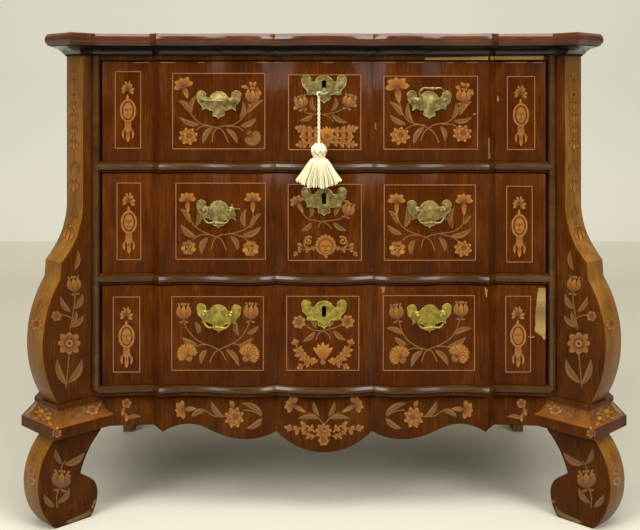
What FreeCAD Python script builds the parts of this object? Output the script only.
import FreeCAD, Part
import math
import os
from FreeCAD import Placement, Rotation, Vector

# Bombe chest of three drawers, with a serpentine front and swelling corners set at 45 degrees.
# Millimetres, +Z up, front towards -Y. The plane of the stiles, where the drawer fronts meet
# the frame, is at y = 0 while the pieces are made; export() moves them all, so that the
# origin lies on the floor under the middle of the chest.

# ---- driving dimensions
top_thickness = 20.0
back_y = 487.0                 # back of the carcass, behind the plane of the stiles

# serpentine plan of the front: distance from the centre, and how far behind the stiles
opening_half = 384.0
stile_width = 13.0
step_outer, step_outer_back = 295.0, 9.0
step_inner, step_inner_back = 281.0, -5.0
hollow_at, hollow_back = 229.0, 6.0
swell_at, swell_back = 131.0, -5.0
groove_at, groove_back = 83.0, 9.0
centre_back = -6.0

# front frame: rails, openings and the half-round beads let into rails and stiles
rail_thickness = 19.0
top_rail_height = 24.0
opening_height = 173.0
rail_depth = 75.0
bead_radius = 6.25
bead_rebate = 3.0
bead_steps = 4
lowest_bead_margin = 0.75      # from the lowest bead up to the opening of the bottom drawer

# corner planks: reach is how far the front arris stands out from the stile, along x and y alike
post_thickness = 53.0
neck_reach, neck_rise = 12.5, 330.0            # rises are above the base
shoulder_reach, shoulder_rise = 41.4, 236.0
waist_reach, waist_rise = 42.6, 209.0
bulge_reach, bulge_rise = 65.8, 105.0
ankle_reach = 44.9

# top, its moulded edge and the cove under it: overhang over drawers, corners and sides
over_front, over_corner, over_side = 33.0, 47.8, 27.0
field_share = 0.45             # the board ends under the moulding at this share of the overhang
edge_profile = ((0.0, 0.86), (4.0, 0.92), (4.3, 0.96), (8.0, 1.0),
                (13.0, 0.99), (17.0, 0.95), (20.0, 0.88))
cove_profile = ((0.0, 0.08), (2.5, 0.08), (2.8, 0.14), (7.0, 0.23),
                (11.5, 0.42), (14.5, 0.68), (14.8, 0.76), (16.0, 0.76))

# base: collar blocks, side mouldings, scroll feet and shaped apron
foot_height = 154.0
collar_over = 19.0
collar_side_over = 40.6
collar_side_share = 1.75       # the return along the side draws in more than the front
collar_profile = ((0.0, 0.0), (17.0, 0.0), (17.4, -2.5), (22.0, -8.2), (28.0, -12.2),
                  (36.0, -15.2), (43.6, -16.4), (44.0, -13.6), (51.0, -13.6))
foot_thickness = 50.0
foot_sole = (2.0, 49.0)        # reach of the inner and outer ends of the sole
foot_bulge = (71.0, 64.0)      # reach and height
foot_ankle = 47.0
scroll_tip = (-8.0, 38.0)
scroll_curl = (-0.5, 64.0)
scroll_notch = (17.0, 73.0)
toe_inset = 2.5
throat = (8.0, 107.0)
foot_neck = 10.0               # upright stretch at the top of the inner edge
apron_setback = 10.0
apron_thickness = 20.0
apron_flat_z = 151.0           # heights of its lower edge are above the floor
apron_trim = 1.0               # its cutting outline runs past its ends by this
apron_cusp = (278.0, 142.0)
apron_step_rise = 4.5
apron_arch = ((240.0, 153.0), (200.0, 145.0))
apron_groove_cusp = (82.5, 139.5)
apron_lowest = 108.0

# carcass
side_inset = 11.0              # from the outer edge of the stile to the side board
side_thickness = 22.0
rear_foot_depth = 60.0
rear_bracket = 50.0
back_thickness = 12.0
floor_thickness = 12.0
runner_width = 48.0
guide_height = 20.0
guide_gap = 1.0
stop_at, stop_width, stop_height, stop_length = 200.0, 30.0, 6.0, 30.0

# drawers
drawer_end_gap = 4.5
front_top_gap = 2.2
front_lift = 0.8
front_back_y = 28.0
drawer_proud = 1.0
run_gap = 0.4
drawer_back_gap = 47.0
drawer_side_thickness = 12.0
side_top_gap = 15.0
back_top_gap = 23.0
drawer_floor_lift = 9.0
drawer_floor_thickness = 8.0

# locks, measured down from the top edge of each drawer front
key_drop = 36.0
case_width, case_height, case_depth, case_plate = 56.0, 54.0, 15.0, 2.5
case_below_top = 1.0
chamber_half = 12.5
bolt_width, bolt_thickness, bolt_length = 18.0, 6.0, 24.0
bolt_below_top = 0.5
bolt_travel = 8.0
bolt_gap = 0.3
mortise_side_gap, mortise_end_gap = 2.5, 4.0
keyhole_radius, keyhole_slot, keyhole_fall = 4.0, 7.0, 15.0

# key: it droops in its worn keyhole, and its bow is turned nearly level
key_radius, key_shank = 2.9, 69.0
key_end_gap = 1.0
bow_radius, bow_wire = 9.0, 1.9
bit_length, bit_width, bit_thickness = 10.0, 4.5, 2.5
bit_from_end = 3.5
key_collar = ((-9.0, 2.9), (-7.5, 4.4), (-6.0, 4.4), (-4.5, 2.9))  # place before the bow, radius
key_droop, key_rest_turn = 13.0, 15.0

# cord and tassel
cord_diameter, cord_length, tie_gap = 5.0, 80.0, 0.6
tassel_head = ((0.0, 2.5), (2.0, 6.5), (6.0, 11.0), (12.0, 13.0), (18.0, 11.0), (24.0, 9.0))
tassel_skirt = ((24.3, 9.0, 9.0), (36.0, 16.0, 11.0), (54.0, 28.0, 12.0), (74.0, 38.0, 12.0))
tassel_sides = 16

# brass: bat-wing plates, posts with their nuts, and swan-neck bails
plate_thickness = 1.6
pull_half = 180.0              # half of the distance between the two pulls
pull_rise = (38.0, 24.0, 19.0)  # post line above the middle of the front, bottom drawer first
plate_gap = 0.1                # lacquer between a plate and its drawer front
wing_arcs = (((0, 14.4), (9, 12.2), (14.8, 5.8)), ((14.8, 5.8), (18.6, 3.6), (22.6, 5.4)),
             ((22.6, 5.4), (33, 15.4), (37.6, 4.0)), ((37.6, 4.0), (36.0, -2.4), (31.6, -7.2)),
             ((31.6, -7.2), (28.8, -12.0), (29.6, -18.4)),
             ((29.6, -18.4), (22.6, -14.4), (15.2, -17.4)),
             ((15.2, -17.4), (11.2, -17.6), (8.8, -21.0)),
             ((8.8, -21.0), (10.6, -24.6), (7.2, -27.6)), ((7.2, -27.6), (3.2, -28.8), (0, -33)))
wing_step = 0.8                # radians of an outline to each of its straight pieces, at most
escutcheon_drop = 3.0
post_spacing = 47.0
post_stand = 12.0
post_profile = ((-1.0, 5.0), (1.2, 5.0), (2.2, 2.4), (8.0, 2.4), (10.2, 4.2), (13.8, 4.2),
                (16.0, 1.8))
post_ball = 4.2
screw_radius, screw_tail = 2.0, 6.0
nut_half, nut_height = 5.5, 4.0
turned_sides, wire_sides, bow_sides = 10, 6, 16
bail_wire, pivot_gap = 1.5, 0.05
bail_end_play = 0.7
bail_shank = 5.8               # straight stretch from the ball of the post to the first bend
bail_shoulder, bail_corner, bail_bottom = (24.0, -13.0), (16.0, -22.0), -21.0
bail_bends = (2.5, 6.0, 8.0, 30.0)
bail_knob = ((-4.8, 2.0), (-3.2, 1.9), (-1.6, 2.8), (1.6, 2.8), (3.2, 1.9), (4.8, 2.0))
bend_step = 0.7                # radians of bend to each facet of a bail
bail_stored = {"lower_left": 0.0, "lower_right": 0.0, "middle_left": 8.0,
               "middle_right": 0.0, "upper_left": 88.0, "upper_right": 160.0}

drawer_names = ("lower", "middle", "upper")

# ---- what follows from them
root2 = math.sqrt(2.0)
mitred = 1                     # how a swept shape turns a sharp corner
stile_x = opening_half + stile_width
corner_run = post_thickness / root2
base_top = foot_height + collar_profile[-1][0]
side_inner_half = stile_x + side_inset
side_outer_half = side_inner_half + side_thickness
collar_side_half = stile_x + corner_run + ankle_reach + collar_side_over
corner_depth = stile_x + 2 * corner_run - side_outer_half
opening_pitch = opening_height + rail_thickness
drawer_half = opening_half - drawer_end_gap
front_height = opening_height - front_lift - front_top_gap
drawer_side_height = opening_height - side_top_gap
drawer_back_height = opening_height - back_top_gap
opening_base = [base_top + rail_thickness + i * opening_pitch for i in range(3)]
top_rail_base = opening_base[2] + opening_height
carcass_top = top_rail_base + top_rail_height
height = carcass_top + top_thickness
cove_base = carcass_top - cove_profile[-1][0]
neck_z, shoulder_z = base_top + neck_rise, base_top + shoulder_rise
waist_z, bulge_z = base_top + waist_rise, base_top + bulge_rise
inside_back = back_y - back_thickness
drawer_end = inside_back - drawer_back_gap
front_base = [z + front_lift for z in opening_base]
front_top = [z + front_height for z in front_base]
key_z = [z - key_drop for z in front_top]
pull_z = [z + front_height / 2 + rise for z, rise in zip(front_base, pull_rise)]
bolt_y = front_back_y + case_depth / 2
collar_arris_y = -ankle_reach - collar_over * root2
top_arris_y = -neck_reach - (over_front + over_corner) / root2
foremost = -min(collar_arris_y, top_arris_y, -foot_bulge[0])
centre_y = (back_y - foremost) / 2


# ---- helpers
def box(x0, x1, y0, y1, z0, z1):
    return Part.makeBox(x1 - x0, y1 - y0, z1 - z0, Vector(x0, y0, z0))


def polygon(points, z=0.0):
    corners = [Vector(x, y, z) for x, y in points]
    return Part.makePolygon(corners + corners[:1])


def joined(edges):
    return Part.Wire(Part.__sortEdges__(edges))


def chain(points):
    return [Part.makeLine(a, b) for a, b in zip(points, points[1:])]


def prism(wire, z0, z1):
    """Upright solid between two heights on a level outline."""
    face = Part.Face(wire)
    face.translate(Vector(0, 0, z0 - wire.BoundBox.ZMin))
    return face.extrude(Vector(0, 0, z1 - z0))


def through(outline, y0, y1):
    """Solid from y0 to y1 on an outline in the upright plane y = 0."""
    face = Part.Face(outline)
    face.translate(Vector(0, y0, 0))
    return face.extrude(Vector(0, y1 - y0, 0))


def mirrored(shape):
    return shape.mirror(Vector(), Vector(1, 0, 0))


def group(*shapes):
    return Part.makeCompound([solid for shape in shapes for solid in shape.Solids])


def meet(p, d, q, e):
    """Where the line through p along d meets the line through q along e."""
    cross = d[0] * e[1] - d[1] * e[0]
    t = ((q[0] - p[0]) * e[1] - (q[1] - p[1]) * e[0]) / cross
    return p[0] + t * d[0], p[1] + t * d[1]


def stacked(outline_at, profile, base):
    """Solid whose level section at base + rise is outline_at(over, z), for each (rise, over)."""
    return Part.makeLoft([outline_at(over, base + rise) for rise, over in profile], True, True)


def bent_line(points, radii):
    """Points of a line with rounded corners, one radius for each inner corner."""
    line, start = [points[0]], points[0]
    for before, corner, after, radius in zip(points, points[1:], points[2:], radii):
        back, onward = (before - corner).normalize(), (after - corner).normalize()
        half = back.getAngle(onward) / 2
        reach = radius / math.tan(half)
        middle = (back + onward).normalize() * (radius / math.sin(half) - radius)
        arc = Part.Arc(corner + back * reach, corner + middle, corner + onward * reach)
        line += arc.toShape().discretize(2 + int((math.pi - 2 * half) / bend_step))
    return line + [points[-1]]


def upright_polygon(points):
    corners = [Vector(x, 0, z) for x, z in points]
    return Part.makePolygon(corners + corners[:1])


def oval(half, deep, z, sides):
    """Many-sided level outline, half wide and deep from its middle to its corners."""
    turns = [2 * math.pi * (i + 0.5) / sides for i in range(sides)]
    return polygon([(half * math.cos(t), deep * math.sin(t)) for t in turns], z)


def faceted(rings):
    """Solid with flat facets on outlines that have as many corners, from first to last."""
    rings = [[vertex.Point for vertex in ring.OrderedVertexes] for ring in rings]
    facets = [rings[0], rings[-1]]
    for low, high in zip(rings, rings[1:]):
        for i in range(len(low)):
            facets += [[low[i - 1], low[i], high[i]], [low[i - 1], high[i], high[i - 1]]]
    faces = [Part.Face(Part.makePolygon(corners + corners[:1])) for corners in facets]
    return Part.Solid(Part.Shell(faces)).removeSplitter()


def faceted_ring(sections):
    """Closed ring with flat facets on sections that follow each other round an axis."""
    rings = [[vertex.Point for vertex in section.OrderedVertexes] for section in sections]
    facets = [[a[i - 1], a[i], b[i], b[i - 1]]
              for a, b in zip(rings, rings[1:] + rings[:1]) for i in range(len(a))]
    return Part.Solid(Part.Shell([Part.Face(Part.makePolygon(f + f[:1])) for f in facets]))


def turned(profile, sides):
    """Upright turned solid, with sides facets, from (height, radius) pairs."""
    return faceted([oval(r, r, z, sides) for z, r in profile])


# ---- the serpentine plan
def front_end(half):
    """How far behind the stiles the narrow outer panel lies, at half from the centre."""
    return step_outer_back * (opening_half - half) / (opening_half - step_outer)


def tangent_arc(start, along, end):
    """Arc that leaves start along a direction and runs to end."""
    chord = end - start
    across = (along * chord.dot(chord) - chord * along.dot(chord)).normalize()
    rise = chord.Length / 2 * math.tan(along.getAngle(chord) / 2)
    return Part.Arc(start, start + chord * 0.5 + across * rise, end).toShape()


def front_curve(forward, end, land=False):
    """Edges of the front, left to right; end is the right-hand point of the curve.

    forward moves the curve out; land adds the flat in front of the stile.
    """
    def at(x, back):
        return Vector(x, back - forward, 0)

    groove, swell = at(groove_at, groove_back), at(swell_at, swell_back)
    hollow, step = at(hollow_at, hollow_back), at(step_inner, step_inner_back)
    turn, outwards = (swell + hollow) * 0.5, Vector(1, 0, 0)
    bow = [tangent_arc(swell, outwards * -1, groove), tangent_arc(swell, outwards, turn),
           tangent_arc(hollow, outwards * -1, turn), tangent_arc(hollow, outwards, step)]
    outer = [step, at(step_outer, step_outer_back)] + ([at(opening_half, 0.0)] if land else [])
    right = bow + chain(outer + [Vector(*end, 0)])
    centre = Part.Arc(at(-groove_at, groove_back), at(0, centre_back), groove).toShape()
    return [mirrored(edge) for edge in right[::-1]] + [centre] + right


def front_band(forward, half, back):
    """Plan outline from the serpentine face to a straight back edge."""
    end = (half, front_end(half) - forward)
    corners = [Vector(*end, 0), Vector(half, back, 0), Vector(-half, back, 0),
               Vector(-end[0], end[1], 0)]
    return joined(front_curve(forward, end) + chain(corners))


def front_strip(forward, behind, half, land=False):
    """Plan outline between the serpentine face moved forward and the same moved to behind."""
    end = 0.0 if land else front_end(half)
    faces = [front_curve(move, (half, end - move), land) for move in (forward, behind)]
    sides = [Part.makeLine(Vector(s * half, end - forward, 0), Vector(s * half, end - behind, 0))
             for s in (-1, 1)]
    return joined(faces[0] + faces[1] + sides)


def face_point(x, forward):
    """Point at x of the front moved out by forward."""
    line = Part.makeLine(Vector(x, -back_y, 0), Vector(x, back_y, 0))
    edges = front_curve(forward, (opening_half, -forward))
    edge = min(edges, key=lambda e: e.distToShape(line)[0])
    return edge.distToShape(line)[1][0][0]


# ---- the corners, drawn on the right-hand side
def corner_points(reach, front, corner, side_x):
    """Stile end, front arris and outer arris of the plan, moved out by front and corner."""
    inner = (stile_x - front * root2, 0.0)
    cant = (stile_x + 2 * reach + corner * root2, 0.0)
    return (meet(inner, (1, -1), (0.0, -front), (1, 0)), meet(inner, (1, -1), cant, (1, 1)),
            meet(cant, (1, 1), (side_x, 0.0), (0, 1)))


def top_outline(share, z, land=False):
    """Plan of the top at a share of its full overhang."""
    side_x = stile_x + corner_run + neck_reach + share * over_side
    stile, arris, outer = corner_points(neck_reach, share * over_front, share * over_corner, side_x)
    right = [stile, arris, outer, (side_x, back_y)]
    corners = [Vector(x, y, 0) for x, y in right + [(-x, y) for x, y in right[::-1]]]
    wire = joined(front_curve(share * over_front, stile, land) + chain(corners))
    wire.translate(Vector(0, 0, z))
    return wire


def swelling_edges(place, top):
    """The S-shaped edge from the base upwards; place(reach, z) gives its points."""
    def arc(*points):
        return Part.Arc(*[place(*point) for point in points]).toShape()

    # the hollow starts upright at the neck and flares to the shoulder
    fall, flare = neck_z - shoulder_z, shoulder_reach - neck_reach
    radius = (fall ** 2 + flare ** 2) / (2 * flare)
    turn = math.asin(fall / radius) / 2
    hollow = (neck_reach + radius * (1 - math.cos(turn)), neck_z - radius * math.sin(turn))
    return [arc((ankle_reach, base_top), (bulge_reach, bulge_z), (waist_reach, waist_z)),
            Part.makeLine(place(waist_reach, waist_z), place(shoulder_reach, shoulder_z)),
            arc((shoulder_reach, shoulder_z), hollow, (neck_reach, neck_z)),
            Part.makeLine(place(neck_reach, neck_z), place(neck_reach, top))]


def corner_slab(profile, thickness, ahead=0.0):
    """Extrude an outline on the inner face of the corner plank across its thickness."""
    face = Part.Face(profile)
    face.translate(Vector(-ahead, -ahead, 0))
    return face.extrude(Vector(1, 1, 0) * (thickness / root2 + ahead))


def on_corner(reach, z):
    return Vector(stile_x + reach, -reach, z)


def make_corner_post():
    edges = swelling_edges(on_corner, carcass_top)
    inner = -corner_depth - stile_width
    ends = [on_corner(neck_reach, carcass_top), on_corner(inner, carcass_top),
            on_corner(inner, base_top), on_corner(ankle_reach, base_top)]
    slab = corner_slab(joined(edges + chain(ends)), post_thickness + stile_width, stile_width)
    reach = bulge_reach + stile_width
    plan = [(opening_half, 0.0), (stile_x, 0.0), (stile_x + reach, -reach),
            (stile_x + reach + corner_run, corner_run - reach),
            (side_outer_half, corner_depth), (opening_half, corner_depth)]
    return prism(polygon(plan), base_top, carcass_top).common(slab)


def make_side_panel():
    """Flat inside and swelling outside; its front edge butts on the back of the corner plank."""
    def place(reach, z):
        return Vector(stile_x + corner_run + reach, 0, z)

    ends = [place(neck_reach, cove_base), Vector(side_outer_half, 0, cove_base),
            Vector(side_outer_half, 0, base_top), place(ankle_reach, base_top)]
    outline = joined(swelling_edges(place, cove_base) + chain(ends))
    near = stile_x + 2 * corner_run
    ahead = 2 * bulge_reach + near
    front = [(near - corner_depth - ahead, corner_depth + ahead), (near - ahead, -ahead),
             (near + ahead, -ahead)]
    return through(outline, -bulge_reach, back_y).cut(prism(polygon(front), 0, height))


def make_base_collar():
    """Block round the foot of the corner plank, mitred to the moulding along the side."""
    def corners(over):
        side_x = collar_side_half + collar_side_share * over
        _, arris, outer = corner_points(ankle_reach, collar_over + over, collar_over + over, side_x)
        slope = front_end(0.0) / opening_half
        apron = (opening_half, apron_setback)
        return meet(arris, (1, -1), apron, (1, -slope)), arris, outer, side_x

    def block(over, z):
        end, arris, outer, _ = corners(over)
        return polygon([end, arris, outer, (side_outer_half, corner_depth),
                        (opening_half, corner_depth), (opening_half, apron_setback)], z)

    def side(over, z):
        _, _, outer, side_x = corners(over)
        return polygon([outer, (side_x, back_y), (side_outer_half, back_y),
                        (side_outer_half, corner_depth)], z)

    return group(*[faceted([outline(over, foot_height + rise) for rise, over in collar_profile])
                   for outline in (block, side)])


def make_scroll_foot():
    top_inner = opening_half + 0.5 - stile_x
    sole_inner, sole_outer = foot_sole

    def arc(*points):
        return Part.Arc(*[on_corner(*point) for point in points]).toShape()

    toe = (scroll_tip[0] + toe_inset, scroll_tip[1] / 2)
    edges = [arc((sole_outer, 0.0), foot_bulge, (foot_ankle, foot_height)),
             arc((sole_inner, 0.0), toe, scroll_tip),
             arc(scroll_tip, scroll_curl, scroll_notch),
             arc(scroll_notch, throat, (top_inner, foot_height - foot_neck))]
    edges += chain([on_corner(top_inner, foot_height - foot_neck),
                    on_corner(top_inner, foot_height),
                    on_corner(foot_ankle, foot_height)])
    edges += chain([on_corner(sole_inner, 0.0), on_corner(sole_outer, 0.0)])
    return corner_slab(joined(edges), foot_thickness)


# ---- top, frame and carcass
def make_top():
    board = prism(top_outline(field_share, carcass_top), carcass_top, height)
    edge = stacked(lambda share, z: top_outline(share, z), edge_profile, carcass_top)
    return board, edge.cut(board)


def make_cove():
    """Hollow moulding under the top; the corners and the top rail stand inside it."""
    cove = stacked(lambda share, z: top_outline(share, z, True), cove_profile, cove_base)
    _, arris, outer = corner_points(neck_reach, 0.0, 0.0, stile_x + corner_run + neck_reach)
    right = [(stile_x, 0.0), arris, outer, (side_outer_half, corner_depth),
             (side_outer_half, back_y + 1.0)]
    corners = [Vector(x, y, 0) for x, y in right + [(-x, y) for x, y in right[::-1]]]
    inside = joined(front_curve(0.0, (stile_x, 0.0), True) + chain(corners))
    return cove.cut(prism(inside, cove_base - 1.0, carcass_top + 1.0))


def pointed_stretch(z):
    """Stretch of a rail bead at height z, with its ends mitred to a point."""
    tip, far = opening_half + bead_radius, rail_thickness
    ends = [(tip, z), (tip - far, z + far), (far - tip, z + far),
            (-tip, z), (far - tip, z - far), (tip - far, z - far)]
    return through(upright_polygon(ends), -far, far)


def bead_rounds():
    """Half-round section of a bead, as (rise, over) pairs."""
    turns = [math.pi * (i / bead_steps - 0.5) for i in range(bead_steps + 1)]
    return [(bead_radius * math.sin(t), bead_radius * math.cos(t)) for t in turns]


def rail_bead(z):
    """Bead along the serpentine front, with a flat tongue behind it."""
    def outline(over, level):
        wire = front_strip(over, -bead_rebate, opening_half + bead_radius, True)
        wire.translate(Vector(0, 0, level))
        return wire

    return stacked(outline, bead_rounds(), z).common(pointed_stretch(z))


def rail_rebate(z):
    """What is cut away for a rail bead."""
    plan = front_strip(2 * bead_radius, -bead_rebate, opening_half + bead_radius, True)
    return prism(plan, z - bead_radius, z + bead_radius).common(pointed_stretch(z))


def make_beads():
    """Beads on the rails, upright beads notched to take them, and the rebates of both."""
    middles = [base - rail_thickness / 2 for base in opening_base]
    middles[0] = opening_base[0] - bead_radius - lowest_bead_margin
    rails = [rail_bead(z) for z in middles]
    x, bottom = opening_half + bead_radius, middles[0]
    section = [(x + rise, -over) for rise, over in bead_rounds()]
    section += [(x + bead_radius, bead_rebate), (x - bead_radius, bead_rebate)]
    right = prism(polygon(section), bottom, cove_base)
    tongue = box(x - bead_radius, x + bead_radius, 0, bead_rebate, bottom, cove_base)
    uprights = [right, mirrored(right)]
    for rail in rails:
        uprights = [upright.cut(rail) for upright in uprights]
    rebates = [rail_rebate(z) for z in middles] + [tongue, mirrored(tongue)]
    return rails, uprights, rebates


def make_rails(rebates):
    """Bottom rail, the two rails between drawers and the top rail, with mortises for bolts."""
    plan = front_band(0.0, opening_half, rail_depth)
    rails = [prism(plan, base - rail_thickness, base).cut(rebate)
             for base, rebate in zip(opening_base, rebates)]
    rails.append(prism(plan, top_rail_base, carcass_top))
    half_x = bolt_width / 2 + mortise_side_gap
    half_y = bolt_thickness / 2 + mortise_side_gap
    for i, top in enumerate(front_top):
        mortise = box(-half_x, half_x, bolt_y - half_y, bolt_y + half_y,
                      top, top + bolt_travel + mortise_end_gap)
        rails[i + 1] = rails[i + 1].cut(mortise)
    return rails


def make_apron():
    """Serpentine band under the bottom rail, with its lower edge cut to lobes and cusps."""
    band = prism(front_strip(-apron_setback, -apron_setback - apron_thickness, opening_half),
                 0, base_top)

    def at(point):
        return Vector(point[0], 0, point[1])

    rise = Part.Arc(at(apron_cusp), at(apron_arch[0]), at(apron_arch[1])).toShape()
    fall = tangent_arc(rise.valueAt(rise.LastParameter), rise.tangentAt(rise.LastParameter),
                       at(apron_groove_cusp))
    right = [rise, fall]
    right += chain([at((opening_half + apron_trim, base_top + apron_trim)),
                    at((opening_half + apron_trim, apron_flat_z)), at((step_outer, apron_flat_z)),
                    at((step_inner, apron_cusp[1] + apron_step_rise)), at(apron_cusp)])
    left = [mirrored(edge) for edge in right]
    drop = Part.Arc(at((-apron_groove_cusp[0], apron_groove_cusp[1])), at((0.0, apron_lowest)),
                    at(apron_groove_cusp)).toShape()
    top = chain([at((s * (opening_half + apron_trim), base_top + apron_trim)) for s in (-1, 1)])
    return band.common(through(joined(right + left + [drop] + top), -back_y, back_y))


def make_carcass():
    """Side boards that run down as the rear feet, the back and the bottom board."""
    foot_y = back_y - rear_foot_depth
    inward = rear_bracket * (1 - 1 / root2)
    corner = Vector(0, foot_y, foot_height - rear_bracket)
    hollow = Vector(0, foot_y - inward, foot_height - inward)
    start = Vector(0, foot_y - rear_bracket, foot_height)
    outline = [Part.Arc(start, hollow, corner).toShape()]
    outline += chain([corner, Vector(0, foot_y, 0), Vector(0, back_y, 0),
                      Vector(0, back_y, carcass_top), Vector(0, corner_depth, carcass_top),
                      Vector(0, corner_depth, foot_height), start])
    face = Part.Face(joined(outline))
    face.translate(Vector(side_inner_half, 0, 0))
    side = face.extrude(Vector(side_thickness, 0, 0))
    back = box(-side_inner_half, side_inner_half, inside_back, back_y, foot_height, carcass_top)
    floor = box(-side_inner_half, side_inner_half, corner_depth, inside_back,
                base_top - floor_thickness, base_top)
    return group(side, mirrored(side)), back, floor


def make_runners():
    """Runners level with the rails, kickers over the top drawer, and guides on the runners."""
    guide_x = drawer_half + guide_gap
    pieces = []
    for base in opening_base + [top_rail_base + rail_thickness]:
        pieces.append(box(side_inner_half - runner_width, side_inner_half, rail_depth, inside_back,
                          base - rail_thickness, base))
    for base in opening_base:
        pieces.append(box(guide_x, side_inner_half, corner_depth, inside_back,
                          base, base + guide_height))
    return group(*pieces, *[mirrored(piece) for piece in pieces])


def make_stops():
    start = front_back_y + run_gap
    stops = [box(stop_at - stop_width / 2, stop_at + stop_width / 2, start, start + stop_length,
                 base, base + stop_height) for base in opening_base]
    return group(*stops, *[mirrored(stop) for stop in stops])


# ---- drawers
def keyhole(z):
    """Keyhole outline in the plane y = 0: round above, with a straight slot below."""
    half, low = keyhole_slot / 2, z - keyhole_fall
    neck = z - math.sqrt(keyhole_radius ** 2 - half ** 2)
    top = Part.Arc(Vector(-half, 0, neck), Vector(0, 0, z + keyhole_radius),
                   Vector(half, 0, neck)).toShape()
    return joined([top] + chain([Vector(half, 0, neck), Vector(half, 0, low),
                                 Vector(-half, 0, low), Vector(-half, 0, neck)]))


def bat_wing(x, z):
    """Outline of a plate or escutcheon about (x, z), with its dome, ears and pendant."""
    half = [Vector(wing_arcs[0][0][0], 0, wing_arcs[0][0][1])]
    for arc in wing_arcs:
        line = Part.Arc(*[Vector(across, 0, up) for across, up in arc])
        turn = line.LastParameter - line.FirstParameter
        half += line.toShape().discretize(2 + math.ceil(turn / wing_step))[1:]
    left = [(x - point.x, z + point.z) for point in half[-2:0:-1]]
    return upright_polygon([(x + point.x, z + point.z) for point in half] + left)


def pull_frame(side, level):
    """Placement of one pull: x along its hinge, -y outwards, origin level with its post feet."""
    forward = drawer_proud + plate_gap + plate_thickness
    feet = [face_point(side * pull_half + x, forward) for x in (-post_spacing / 2, post_spacing / 2)]
    line = feet[1] - feet[0]
    middle = (feet[0] + feet[1]) * 0.5 + Vector(0, 0, level)
    return Placement(middle, Rotation(Vector(0, 0, 1), math.degrees(math.atan2(line.y, line.x))))


def placed(shape, frame):
    copy = shape.copy()
    copy.Placement = frame.multiply(copy.Placement)
    return copy


def outward(shape, x):
    """Lay an upright shape along the outward axis of a pull, at x along the hinge."""
    copy = shape.copy()
    copy.Placement = Placement(Vector(x, 0, 0), Rotation(Vector(1, 0, 0), 90))
    return copy


def screw(x, frame):
    """Threaded tail of one post, from behind its nut to the disc on the plate."""
    tail = 2 * plate_thickness + front_back_y + nut_height + screw_tail
    return placed(outward(turned([(-tail, screw_radius), (0.0, screw_radius)], wire_sides), x), frame)


def make_post(x, frame):
    """Disc on the plate, and a ball with an eye across it for the bail."""
    eye_radius = (bail_wire + pivot_gap) / math.cos(math.pi / wire_sides)
    eye = turned([(-2 * post_ball, eye_radius), (2 * post_ball, eye_radius)], wire_sides)
    eye.Placement = Placement(Vector(x, -post_stand, 0), Rotation(Vector(0, 1, 0), 90))
    head = outward(turned(post_profile, turned_sides), x).cut(eye)
    return placed(head, frame)


def make_bail(angle):
    """Swan-neck bail hanging from its two eyes, swung outwards by angle."""
    eye = post_spacing / 2
    end = (eye + post_ball - bail_end_play, 0.0)
    half = [end, (eye, 0.0), (eye - post_ball - bail_shank, 0.0), bail_shoulder, bail_corner]
    corners = half[1:] + [(0.0, bail_bottom)] + [(-x, z) for x, z in half[:0:-1]]
    line = bent_line([Vector(x, 0, z) for x, z in corners], bail_bends + bail_bends[-2::-1])
    ring = oval(bail_wire, bail_wire, 0.0, wire_sides)
    ring.Placement = Placement(Vector(half[1][0], 0, 0), Rotation(Vector(0, 1, 0), 90))
    wire = Part.makePolygon(line).makePipeShell([ring], True, False, mitred)
    knob = turned(bail_knob, wire_sides)
    knob.Placement = Placement(Vector(0, 0, bail_bottom), Rotation(Vector(0, 1, 0), 90))
    pins = [Part.makeCylinder(bail_wire, end[0] - half[1][0], Vector(side * half[1][0], 0, 0),
                              Vector(side, 0, 0)) for side in (-1, 1)]
    bail = wire.fuse([knob] + pins)
    bail.rotate(Vector(), Vector(-1, 0, 0), angle)
    bail.translate(Vector(0, -post_stand, 0))
    return bail


def make_pulls(i, front, skin):
    """Plates, posts, nuts and bails of drawer i, and its front bored for them."""
    plates, posts, nuts, bails = [], [], [], []
    for side, hand in ((-1, "left"), (1, "right")):
        frame = pull_frame(side, pull_z[i])
        plate = through(bat_wing(side * pull_half, pull_z[i]), -back_y, back_y).common(skin)
        for x in (-post_spacing / 2, post_spacing / 2):
            bolt = screw(x, frame)
            post = make_post(x, frame)
            plate, front = plate.cut(bolt), front.cut(bolt)
            posts.append(post.fuse(bolt).removeSplitter())
            at = frame.multVec(Vector(x, 0, 0))
            lean = math.tan(math.radians(frame.Rotation.Angle) * frame.Rotation.Axis.z)
            nut_x = at.x - (front_back_y + nut_height / 2 - at.y) * lean
            nuts.append(box(nut_x - nut_half, nut_x + nut_half, front_back_y,
                            front_back_y + nut_height, at.z - nut_half, at.z + nut_half).cut(bolt))
        posts[-2:] = [post.cut(plate) for post in posts[-2:]]
        plates.append(plate)
        bails.append(placed(make_bail(bail_stored["%s_%s" % (drawer_names[i], hand)]), frame))
    return {"front": front, "handle_plates": group(*plates), "handle_posts": group(*posts),
            "handle_nuts": group(*nuts), "bail_left": bails[0], "bail_right": bails[1]}


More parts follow.
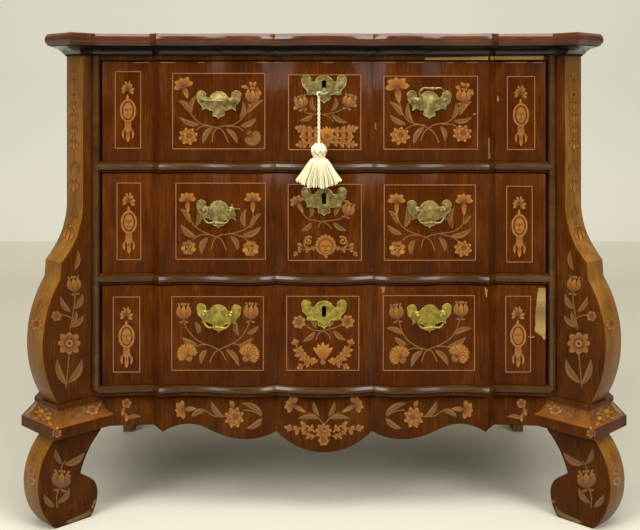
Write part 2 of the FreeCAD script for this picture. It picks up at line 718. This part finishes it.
def make_lock(i):
    """Iron box lock: a chamber for the key's bit, with the bolt's channel over it."""
    top, z = front_top[i], key_z[i]
    case_top, inside = top - case_below_top, front_back_y + case_plate
    case = box(-case_width / 2, case_width / 2, front_back_y, front_back_y + case_depth,
               case_top - case_height, case_top)
    half_x, half_y = bolt_width / 2 + bolt_gap, bolt_thickness / 2 + bolt_gap
    channel = box(-half_x, half_x, bolt_y - half_y, bolt_y + half_y, z, top)
    chamber = box(-chamber_half, chamber_half, inside, front_back_y + case_depth - case_plate,
                  z - chamber_half, z + chamber_half)
    mouth = through(keyhole(z), front_back_y - 1, inside + 1)
    bolt_top = top - bolt_below_top
    bolt = box(-bolt_width / 2, bolt_width / 2, bolt_y - bolt_thickness / 2,
               bolt_y + bolt_thickness / 2, bolt_top - bolt_length, bolt_top)
    return {"lock_case": case.cut(channel).cut(chamber).cut(mouth), "lock_bolt": bolt}


def make_drawer(i):
    """All the pieces of drawer i, by name."""
    base, top, z = opening_base[i], front_top[i], key_z[i]
    inner = drawer_half - drawer_side_thickness
    near = drawer_proud + plate_gap
    skin = prism(front_strip(near + plate_thickness, near, opening_half),
                 base, base + opening_height)
    hole = through(keyhole(z), -back_y, back_y)
    front = prism(front_band(drawer_proud, drawer_half, front_back_y), front_base[i], top)
    pieces = make_pulls(i, front.cut(hole), skin)
    outline = bat_wing(0.0, z - escutcheon_drop)
    pieces["escutcheon"] = through(outline, -back_y, back_y).common(skin).cut(hole)
    pieces.update(make_lock(i))

    side = box(inner, drawer_half, front_back_y, drawer_end, base + run_gap, base + drawer_side_height)
    floor_base = base + drawer_floor_lift
    floor_top = floor_base + drawer_floor_thickness
    pieces["sides"] = group(side, mirrored(side))
    pieces["bottom"] = box(-inner, inner, front_back_y, drawer_end, floor_base, floor_top)
    pieces["back"] = box(-inner, inner, drawer_end - drawer_side_thickness, drawer_end,
                         floor_top, base + drawer_back_height)
    return pieces


# ---- key, cord and tassel
key_pivot = Vector(0, front_back_y + case_depth - case_plate - key_end_gap, key_z[2])


def key_frame():
    """x to the right and +z up along the bow's own upright, -y outwards along the key."""
    droop = Rotation(Vector(1, 0, 0), key_droop)
    turn = Rotation(Vector(0, -1, 0), key_rest_turn)
    return Placement(key_pivot, droop.multiply(turn))


def make_key():
    """Shank, collar, ring bow lying level and a bit on the left, before the droop and turn."""
    shank = Part.makeCylinder(key_radius, key_shank + bow_wire, Vector(), Vector(0, -1, 0))
    collar = outward(turned([(key_shank + at, r) for at, r in key_collar], turned_sides), 0.0)
    sections = []
    for i in range(bow_sides):
        section = oval(bow_wire, bow_wire, 0.0, wire_sides)
        upright = Placement(Vector(bow_radius, 0, 0), Rotation(Vector(1, 0, 0), 90))
        section.Placement = Placement(Vector(), Rotation(Vector(0, 0, 1), 360.0 * i / bow_sides))
        section.Placement = section.Placement.multiply(upright)
        sections.append(section)
    bow = faceted_ring(sections)
    bow.translate(Vector(0, -key_shank - bow_radius, 0))
    bit = box(-bit_length, 0, -bit_from_end - bit_width, -bit_from_end,
              -bit_thickness / 2, bit_thickness / 2)
    return placed(shank.fuse([collar, bow, bit]).removeSplitter(), key_frame())


tie_point = key_frame().multVec(Vector(-bow_radius, -key_shank - bow_radius, 0))
cord_top = tie_point - Vector(0, 0, bow_wire + tie_gap)


def make_cord_and_tassel():
    """Straight cord, and a tassel whose round head runs out into a flat flared skirt."""
    end = cord_top - Vector(0, 0, cord_length)
    cord = Part.makeCylinder(cord_diameter / 2, cord_length, end)
    rings = [(fall, r, r) for fall, r in tassel_head] + list(tassel_skirt)
    tassel = faceted([oval(half, deep, -fall, tassel_sides) for fall, half, deep in rings[::-1]])
    tassel.translate(end)
    return cord, tassel


# ---- everything, by node
def make_nodes():
    nodes = {}
    nodes["top_board"], nodes["top_edge_moulding"] = make_top()
    beads, uprights, rebates = make_beads()
    rails = make_rails(rebates)
    post = make_corner_post()
    for rebate in rebates:
        post = post.cut(rebate)
    nodes["frieze_cove"] = make_cove()
    nodes["bottom_rail"], nodes["top_rail"] = rails[0], rails[3]
    nodes["drawer_rails"] = group(*rails[1:3])
    nodes["front_beads"] = group(*beads, *uprights)
    for name, shape in (("corner_post", post), ("bombe_side", make_side_panel()),
                        ("base_collar", make_base_collar()), ("scroll_foot", make_scroll_foot())):
        nodes[name + "_left"], nodes[name + "_right"] = mirrored(shape), shape
    nodes["apron"] = make_apron()
    nodes["carcass_sides"], nodes["back_panel"], nodes["bottom_board"] = make_carcass()
    nodes["drawer_runners"], nodes["drawer_stops"] = make_runners(), make_stops()
    for i, name in enumerate(drawer_names):
        for piece, shape in make_drawer(i).items():
            nodes["%s_drawer_%s" % (name, piece)] = shape
    nodes["key"] = make_key()
    nodes["key_cord"], nodes["tassel"] = make_cord_and_tassel()
    return nodes


def export(nodes):
    os.makedirs("parts", exist_ok=True)
    for name, shape in nodes.items():
        shape.translate(Vector(0, -centre_y, 0))
        shape.exportStep("parts/%s.step" % name)


nodes = make_nodes()
export(nodes)
